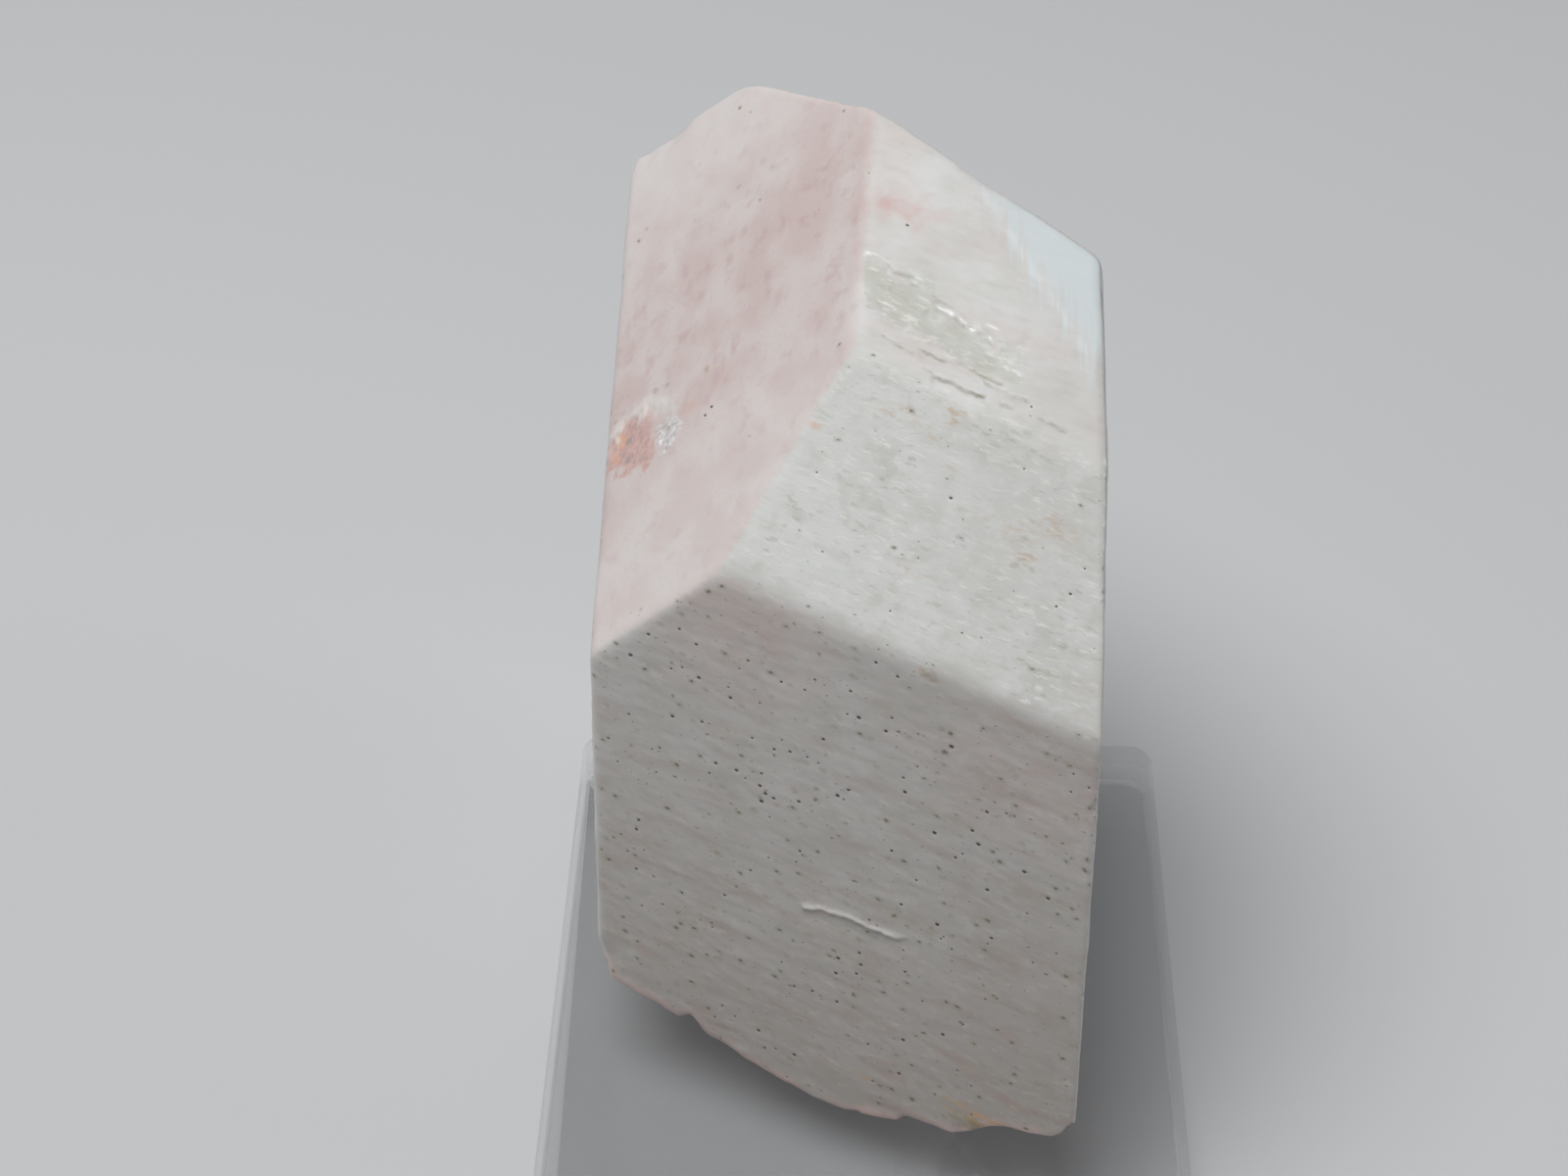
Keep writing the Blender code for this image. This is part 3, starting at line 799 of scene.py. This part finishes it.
def add_grain(points, weights):
    """Waves and streaks along the grain, ledges of the cleavage faces, and rough breaks."""
    grain = in_grain(points)
    local = in_crystal(points)
    inward = (-face_gaps(points)[:, VISIBLE]).min(axis=1)
    hidden = 0.25 + 0.75 * ramp(inward, 0.2, 1.4)
    streaked = weights[:, FRONT] + 0.6 * weights[:, UPPER_FRONT] + weights[:, BACK] + 0.3 * weights[:, TOP]
    waves = 0.02 * noise(grain, np.array((4.5, 1.3, 1.3)), 71)
    waves += 0.012 * noise(grain, np.array((1.6, 0.5, 0.5)), 72)
    waves += 0.012 * noise(grain, np.array((0.8, 0.28, 0.28)), 73)
    gentle = 0.035 * layered(points, 5.0, 3, 75) * (weights[:, PINK_SIDE] + 0.5 * weights[:, TOP])
    cleaved = (weights[:, LEFT] + weights[:, RIGHT]) * hidden
    terraces = 0.1 * noise(local, np.array((3.0, 7.0, 3.2)), 77, 0.42)
    terraces += 0.05 * noise(local, np.array((2.0, 2.6, 1.1)), 78, 0.42)
    broken = np.maximum(weights[:, BROKEN_BACK] * hidden, weights[:, BASE])
    rough = 0.34 * noise(local, np.array((3.6, 5.5, 1.9)), 81, 0.43)
    rough += 0.12 * noise(local, np.array((1.5, 2.6, 0.9)), 83, 0.4) + 0.03 * layered(points, 0.9, 2, 82)
    return streaked * waves + gentle + cleaved * terraces + broken * rough


MARKS = (
    "painted_glint", "pale_and_painted_highlight", "rust", "orange", "dirt_and_painted_shade", "dark", "wound", "crystalline_and_painted_glints", "painted_crack_shade", "pink", "band",
    "recess", "painted_reflection_corner", "hair", "shade", "lift", "faded", "speck", "broken",
)


def detail(points, weights, pits):
    """Relief of the whole surface, and the marks that its material reads."""
    marks = {name: np.zeros(len(points)) for name in MARKS}
    add_regions(points, weights, marks)
    add_spots(points, marks)
    terraces = noise(in_grain(points), np.array((2.0, 0.42, 0.42)), 92, 0.4)
    relief = add_grain(points, weights) - marks["recess"] * (0.1 + 0.05 * terraces)
    relief += 0.05 * ramp(marks["painted_reflection_corner"], 0.0, 0.4)
    relief += add_ledges(points, weights, marks)
    relief += add_lip(points, weights, marks)
    relief += add_pits(points, weights, pits, marks)
    relief += add_wound(points, weights, marks)
    return relief, marks


def mesh_object(name, points, triangles, marks=None):
    """Object from places in millimetres, triangles and marks, shaded smooth."""
    mesh = bpy.data.meshes.new(name)
    mesh.from_pydata((points * MM).tolist(), [], triangles)
    mesh.shade_smooth()
    for mark, values in (marks or {}).items():
        mesh.attributes.new(mark, "FLOAT", "POINT").data.foreach_set("value", values.astype(np.float32))
    item = bpy.data.objects.new(name, mesh)
    bpy.context.scene.collection.objects.link(item)
    return item


def make_crystal():
    """The crystal as one closed, detailed surface in place of its plain solid."""
    pits = face_pits()
    surface = Surface(pits)
    flat = np.array(surface.points)
    weights = face_weights(flat, 0.12)
    points, outward = settle(flat, weights)
    relief, marks = detail(points, weights, pits)
    points = points + relief[:, None] * outward + dent_shifts(points)
    crystal = mesh_object("crystal_body", points, surface.triangles, marks)
    crystal.data.materials.append(feldspar_material())
    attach(crystal, "root")
    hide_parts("crystal")
    print("crystal triangles", len(surface.triangles))


def add_node(tree, kind, sockets, **settings):
    """New node with its settings, and its sockets given a value or linked to another node."""
    made = tree.nodes.new("ShaderNode" + kind)
    for name, value in settings.items():
        setattr(made, name, value)
    for name, value in sockets.items():
        if isinstance(value, bpy.types.NodeSocket):
            tree.links.new(value, made.inputs[name])
        else:
            made.inputs[name].default_value = value
    return made


def noise_node(tree, vector, scale, depth=2.0):
    sockets = {"Vector": vector, "Scale": scale, "Detail": depth}
    return add_node(tree, "TexNoise", sockets).outputs["Fac"]


def spread(tree, value, low, high, to_low=0.0, to_high=1.0):
    """Smooth change of a value from one range to another."""
    sockets = {"Value": value, "From Min": low, "From Max": high, "To Min": to_low, "To Max": to_high}
    return add_node(tree, "MapRange", sockets, interpolation_type="SMOOTHSTEP").outputs["Result"]


def combine(tree, operation, first, second):
    return add_node(tree, "Math", {0: first, 1: second}, operation=operation).outputs[0]


def tint(tree, factor, below, above):
    """Colour that goes from one to another with a factor."""
    made = tree.nodes.new("ShaderNodeMix")
    made.data_type = "RGBA"
    for place, value in ((0, factor), (6, below), (7, above)):
        if isinstance(value, bpy.types.NodeSocket):
            tree.links.new(value, made.inputs[place])
        elif place == 0:
            made.inputs[place].default_value = value
        else:
            made.inputs[place].default_value = (*value, 1.0)
    return made.outputs[2]


def mark_node(tree, name):
    return add_node(tree, "Attribute", {}, attribute_name=name).outputs["Fac"]


def grain_coordinates(tree):
    """Places in millimetres: along the grain, up the front face and out of it."""
    place = add_node(tree, "TexCoord", {}).outputs["Object"]
    turn = Matrix(GRAIN_FRAME.tolist()).to_euler()
    sockets = {"Vector": place, "Rotation": turn, "Scale": (1.0 / MM,) * 3}
    return place, add_node(tree, "Mapping", sockets).outputs["Vector"]


def stretched(tree, vector, factor):
    """The same places squeezed along the grain, so that patterns there come out longer."""
    return add_node(tree, "Mapping", {"Vector": vector, "Scale": (1.0 / factor, 1.0, 1.0)}).outputs[0]


def pink_side_mask(tree, place):
    """1 on the pink face, with a close limit at the faces seen and a soft one at hidden faces."""
    mask = None
    limits = {TOP: 0.3, UPPER_FRONT: 0.12, FRONT: 0.15, LEFT: 2.5, BACK: 2.5}
    for other, width in limits.items():
        across = Vector((NORMALS[PINK_SIDE] - NORMALS[other]) / MM)
        shift = float(OFFSETS[PINK_SIDE] - OFFSETS[other])
        sockets = {0: place, 1: across}
        reach = add_node(tree, "VectorMath", sockets, operation="DOT_PRODUCT").outputs["Value"]
        side = spread(tree, reach, shift - width, shift + min(width, 0.4))
        mask = side if mask is None else combine(tree, "MINIMUM", mask, side)
    return mask


def speck_pattern(tree, vector, cell, density, radius):
    """Small scattered specks: 1 in their middles, with a share of the cells left empty."""
    sockets = {"Vector": vector, "Scale": 1.0 / cell}
    made = add_node(tree, "TexVoronoi", sockets)
    split = add_node(tree, "SeparateColor", {"Color": made.outputs["Color"]})
    size = spread(tree, split.outputs["Green"], 0.0, 1.0, 0.35 * radius / cell, radius / cell)
    near = combine(tree, "DIVIDE", made.outputs["Distance"], size)
    inside = spread(tree, near, 0.55, 1.0, 1.0, 0.0)
    present = combine(tree, "LESS_THAN", split.outputs["Red"], density)
    return combine(tree, "MULTIPLY", inside, present)


def feldspar_material():
    """Satin feldspar: streaked and mottled, pink on one side, with dark specks and fresh breaks, and with
    painted shade, painted light, painted glints and a painted reflection.
    """
    material = bpy.data.materials.new("feldspar")
    material.use_nodes = True
    tree = material.node_tree
    shader = tree.nodes["Principled BSDF"]
    place, grain = grain_coordinates(tree)
    streaks = stretched(tree, grain, 3.5)
    warp = add_node(tree, "TexNoise", {"Vector": grain, "Scale": 3.0, "Detail": 2.0}).outputs["Color"]
    shift = add_node(tree, "VectorMath", {0: warp, 1: (0.22, 0.22, 0.22)}, operation="MULTIPLY")
    warped = add_node(tree, "VectorMath", {0: grain, 1: shift.outputs[0]}, operation="ADD").outputs[0]
    short = stretched(tree, warped, 1.6)

    clouds = noise_node(tree, grain, 0.35, 4.0)
    colour = tint(tree, spread(tree, clouds, 0.3, 0.7), (0.7, 0.69, 0.66), (0.78, 0.78, 0.765))
    fine_streak = noise_node(tree, streaks, 3.2, 3.0)
    colour = tint(tree, spread(tree, fine_streak, 0.52, 0.72, 0.0, 0.22), colour, (0.88, 0.87, 0.85))
    colour = tint(tree, spread(tree, fine_streak, 0.3, 0.47, 0.2, 0.0), colour, (0.55, 0.53, 0.48))
    # Painted shade: darker front face, most towards its bottom, darker back face and darker right of the
    # upper faces
    colour = tint(tree, combine(tree, "MULTIPLY", mark_node(tree, "shade"), 0.3), colour, (0.41, 0.37, 0.338))
    # Painted light on the upper front face, lighter towards its left
    colour = tint(tree, combine(tree, "MULTIPLY", mark_node(tree, "lift"), 0.5), colour, (0.86, 0.875, 0.85))

    side = pink_side_mask(tree, place)
    mottle = noise_node(tree, warped, 1.0, 5.0)
    pink = tint(tree, spread(tree, clouds, 0.35, 0.65), (0.73, 0.595, 0.575), (0.79, 0.71, 0.685))
    pink = tint(tree, spread(tree, mottle, 0.52, 0.74, 0.0, 0.5), pink, (0.62, 0.43, 0.43))
    pink = tint(tree, spread(tree, noise_node(tree, grain, 4.5, 2.0), 0.55, 0.75, 0.0, 0.25), pink,
                (0.66, 0.5, 0.44))
    faded = combine(tree, "MULTIPLY", mark_node(tree, "faded"), 0.65)
    pink = tint(tree, faded, pink, (0.89, 0.85, 0.83))
    colour = tint(tree, combine(tree, "MULTIPLY", side, 0.95), colour, pink)
    broken = combine(tree, "MULTIPLY", mark_node(tree, "broken"), spread(tree, mottle, 0.35, 0.65, 0.2, 0.6))
    colour = tint(tree, broken, colour, (0.84, 0.78, 0.73))
    # Brown streaks, as strong as the painted shade there
    shaded_brown_streaks = spread(tree, noise_node(tree, streaks, 1.1, 4.0), 0.5, 0.7, 0.0, 0.14)
    shaded_brown_streaks = combine(tree, "MULTIPLY", mark_node(tree, "shade"), shaded_brown_streaks)
    colour = tint(tree, shaded_brown_streaks, colour, (0.44, 0.31, 0.26))
    blush = combine(tree, "MULTIPLY", mark_node(tree, "pink"), spread(tree, mottle, 0.3, 0.65, 0.5, 1.0))
    colour = tint(tree, blush, colour, (0.72, 0.5, 0.47))

    ragged = noise_node(tree, streaks, 2.2, 3.0)
    lean_place = add_node(tree, "Mapping", {"Vector": place, "Rotation": (-CRYSTAL_LEAN, 0.0, 0.0)})
    comb_scale = {"Vector": lean_place.outputs[0], "Scale": (4500.0, 350.0, 350.0)}
    comb = noise_node(tree, add_node(tree, "Mapping", comb_scale).outputs[0], 1.0, 2.0)
    band = combine(tree, "ADD", mark_node(tree, "band"), spread(tree, ragged, 0.3, 0.7, -0.5, 0.5))
    band = spread(tree, band, 0.0, 0.4)
    colour = tint(tree, combine(tree, "MULTIPLY", band, 0.6), colour, (0.6, 0.62, 0.55))
    # Bluish corner of the top: its bluish white is a painted reflection; it is also glossier below
    painted_reflection_corner = combine(tree, "ADD", mark_node(tree, "painted_reflection_corner"), spread(tree, comb, 0.3, 0.7, -0.6, 0.6))
    painted_reflection_corner = spread(tree, painted_reflection_corner, -0.8, 1.3)
    colour = tint(tree, combine(tree, "MULTIPLY", painted_reflection_corner, 0.8), colour, (0.71, 0.785, 0.81))

    dashes = noise_node(tree, stretched(tree, warped, 3.5), 4.5, 1.5)
    hair = mark_node(tree, "hair")
    lit_dash = combine(tree, "MULTIPLY", hair, spread(tree, dashes, 0.58, 0.71, 0.0, 0.6))
    dim_dash = combine(tree, "MULTIPLY", hair, spread(tree, dashes, 0.26, 0.4, 0.5, 0.0))
    olive = combine(tree, "MULTIPLY", hair, spread(tree, mottle, 0.5, 0.68, 0.0, 0.4))
    white = combine(tree, "MULTIPLY", hair, spread(tree, mottle, 0.3, 0.46, 0.5, 0.0))
    colour = tint(tree, olive, colour, (0.58, 0.57, 0.5))
    colour = tint(tree, white, colour, (0.86, 0.87, 0.855))
    colour = tint(tree, dim_dash, colour, (0.5, 0.49, 0.4))
    colour = tint(tree, lit_dash, colour, (0.93, 0.91, 0.85))

    flecks = noise_node(tree, stretched(tree, warped, 3.0), 4.5, 2.0)
    rust = combine(tree, "MULTIPLY", mark_node(tree, "rust"), spread(tree, flecks, 0.45, 0.6, 0.1, 1.0))
    colour = tint(tree, combine(tree, "MULTIPLY", rust, 0.85), colour, (0.6, 0.4, 0.22))
    # Dirt spots, and the painted shade under the ledges of the top
    dirt_and_painted_shade = combine(tree, "MULTIPLY", mark_node(tree, "dirt_and_painted_shade"), spread(tree, flecks, 0.35, 0.55, 0.5, 1.0))
    colour = tint(tree, combine(tree, "MULTIPLY", dirt_and_painted_shade, 0.85), colour, (0.28, 0.23, 0.14))

    facets = noise_node(tree, grain, 4.0, 1.0)
    raw = tint(tree, spread(tree, facets, 0.35, 0.65), (0.66, 0.41, 0.37), (0.75, 0.51, 0.47))
    colour = tint(tree, combine(tree, "MULTIPLY", mark_node(tree, "wound"), 0.8), colour, raw)
    # Crystalline part of the chip: grey to white facets, with painted white glints at their brightest
    facets_and_painted_glints = tint(tree, spread(tree, facets, 0.35, 0.55), (0.64, 0.59, 0.58), (0.8, 0.79, 0.78))
    facets_and_painted_glints = tint(tree, spread(tree, facets, 0.58, 0.64), facets_and_painted_glints, (0.98, 0.98, 0.98))
    crystalline_and_painted_glints = mark_node(tree, "crystalline_and_painted_glints")
    colour = tint(tree, combine(tree, "MULTIPLY", crystalline_and_painted_glints, 0.9), colour, facets_and_painted_glints)
    # Painted shade along the cracks of the chip
    colour = tint(tree, combine(tree, "MULTIPLY", mark_node(tree, "painted_crack_shade"), 0.6), colour, (0.34, 0.33, 0.33))
    colour = tint(tree, combine(tree, "MULTIPLY", mark_node(tree, "orange"), 0.8), colour, (0.82, 0.5, 0.36))
    # Whitish rim of the chip, and the painted highlight on the front lip
    colour = tint(tree, combine(tree, "MULTIPLY", mark_node(tree, "pale_and_painted_highlight"), 0.8), colour, (0.92, 0.9, 0.86))
    # Painted glints: white on the ledge lips and the glint spots
    painted_glint = mark_node(tree, "painted_glint")
    colour = tint(tree, painted_glint, colour, (0.97, 0.975, 0.97))

    density = mark_node(tree, "speck")
    large = speck_pattern(tree, short, 0.55, density, 0.1)
    small = speck_pattern(tree, short, 0.3, density, 0.055)
    halo = speck_pattern(tree, short, 0.55, density, 0.22)
    colour = tint(tree, combine(tree, "MULTIPLY", halo, 0.3), colour, (0.36, 0.34, 0.24))
    colour = tint(tree, combine(tree, "MULTIPLY", small, 0.6), colour, (0.24, 0.22, 0.15))
    colour = tint(tree, combine(tree, "MULTIPLY", large, 0.6), colour, (0.12, 0.11, 0.07))
    dark = spread(tree, mark_node(tree, "dark"), 0.1, 0.8)
    colour = tint(tree, combine(tree, "MULTIPLY", dark, 0.9), colour, (0.07, 0.062, 0.04))
    tree.links.new(colour, shader.inputs["Base Color"])

    lustre = combine(tree, "MAXIMUM", painted_glint, combine(tree, "MULTIPLY", crystalline_and_painted_glints, facets))
    gloss = spread(tree, painted_reflection_corner, 0.0, 1.0, 0.52, 0.4)
    gloss = combine(tree, "MINIMUM", gloss, spread(tree, lustre, 0.2, 0.9, 0.52, 0.14))
    tree.links.new(gloss, shader.inputs["Roughness"])
    pits = combine(tree, "MAXIMUM", large, combine(tree, "MULTIPLY", small, 0.5))
    height = combine(tree, "SUBTRACT", fine_streak, combine(tree, "MULTIPLY", pits, 1.2))
    height = combine(tree, "ADD", height, combine(tree, "MULTIPLY", noise_node(tree, grain, 9.0), 0.35))
    height = combine(tree, "ADD", height, combine(tree, "MULTIPLY", lit_dash, 0.8))
    bump = add_node(tree, "Bump", {"Height": height, "Strength": 0.6, "Distance": 0.025 * MM})
    tree.links.new(bump.outputs["Normal"], shader.inputs["Normal"])
    shader.inputs["Specular IOR Level"].default_value = 0.4
    shader.inputs["Subsurface Weight"].default_value = 0.12
    shader.inputs["Subsurface Radius"].default_value = (1.0, 0.75, 0.65)
    shader.inputs["Subsurface Scale"].default_value = 0.6 * MM
    return material


def acrylic_material():
    """Clear acrylic with faint surface wear."""
    material = bpy.data.materials.new("clear_acrylic")
    material.use_nodes = True
    tree = material.node_tree
    shader = tree.nodes["Principled BSDF"]
    shader.inputs["Base Color"].default_value = (0.97, 0.985, 0.985, 1.0)
    shader.inputs["Transmission Weight"].default_value = 1.0
    shader.inputs["IOR"].default_value = 1.49
    shader.inputs["Alpha"].default_value = 0.25
    place = add_node(tree, "TexCoord", {}).outputs["Object"]
    worn = noise_node(tree, place, 400.0, 4.0)
    tree.links.new(spread(tree, worn, 0.45, 0.75, 0.02, 0.12), shader.inputs["Roughness"])
    return material


def make_camera():
    """Camera where the photograph was taken from."""
    data = bpy.data.cameras.new("camera")
    data.sensor_width = SENSOR_WIDTH
    data.sensor_fit = "HORIZONTAL"
    data.lens = FOCAL_PIXELS * SENSOR_WIDTH / IMAGE_WIDTH
    data.clip_start = 0.005
    camera = bpy.data.objects.new("camera", data)
    camera.location = Vector(CAMERA_PLACE) * MM
    pitch = math.radians(90.0 - CAMERA_PITCH)
    camera.rotation_euler = Euler((pitch, 0.0, math.radians(CAMERA_TURN)))
    bpy.context.scene.collection.objects.link(camera)
    bpy.context.scene.camera = camera


def make_light(name, place, target, size, power):
    """Soft round light aimed at a place."""
    data = bpy.data.lights.new(name, "AREA")
    data.shape = "DISK"
    data.size = size * MM
    data.energy = power
    light = bpy.data.objects.new(name, data)
    light.location = Vector(place) * MM
    aim = (Vector(target) - Vector(place)).normalized()
    light.rotation_euler = aim.to_track_quat("-Z", "Y").to_euler()
    bpy.context.scene.collection.objects.link(light)


def make_stage():
    """Plain pale floor."""
    mesh = bpy.data.meshes.new("floor")
    reach = 3.0
    corners = [(-reach, -reach, 0.0), (reach, -reach, 0.0), (reach, reach, 0.0), (-reach, reach, 0.0)]
    mesh.from_pydata(corners, [], [(0, 1, 2, 3)])
    floor = bpy.data.objects.new("floor", mesh)
    material = bpy.data.materials.new("floor")
    material.use_nodes = True
    shader = material.node_tree.nodes["Principled BSDF"]
    shader.inputs["Base Color"].default_value = (0.68, 0.69, 0.70, 1.0)
    shader.inputs["Roughness"].default_value = 0.8
    mesh.materials.append(material)
    bpy.context.scene.collection.objects.link(floor)


def make_lighting():
    """Soft studio light, strongest from above and a little to the left, with a weak fill."""
    make_light("overhead", (-109.0, -20.0, 422.0), (0.0, 0.0, 15.0), 300.0, 1.34)
    make_light("fill", (300.0, 60.0, 160.0), (0.0, 0.0, 20.0), 200.0, 0.12)
    world = bpy.data.worlds.new("studio")
    world.use_nodes = True
    background = world.node_tree.nodes["Background"]
    background.inputs["Color"].default_value = (0.95, 0.97, 1.0, 1.0)
    background.inputs["Strength"].default_value = 0.12
    bpy.context.scene.world = world
    bpy.context.scene.view_settings.view_transform = "Standard"


def main():
    make_camera()
    make_lighting()
    make_stage()
    make_crystal()
    plate = bpy.data.objects["stand_plate"]
    plate.material_slots[0].material = acrylic_material()


main()
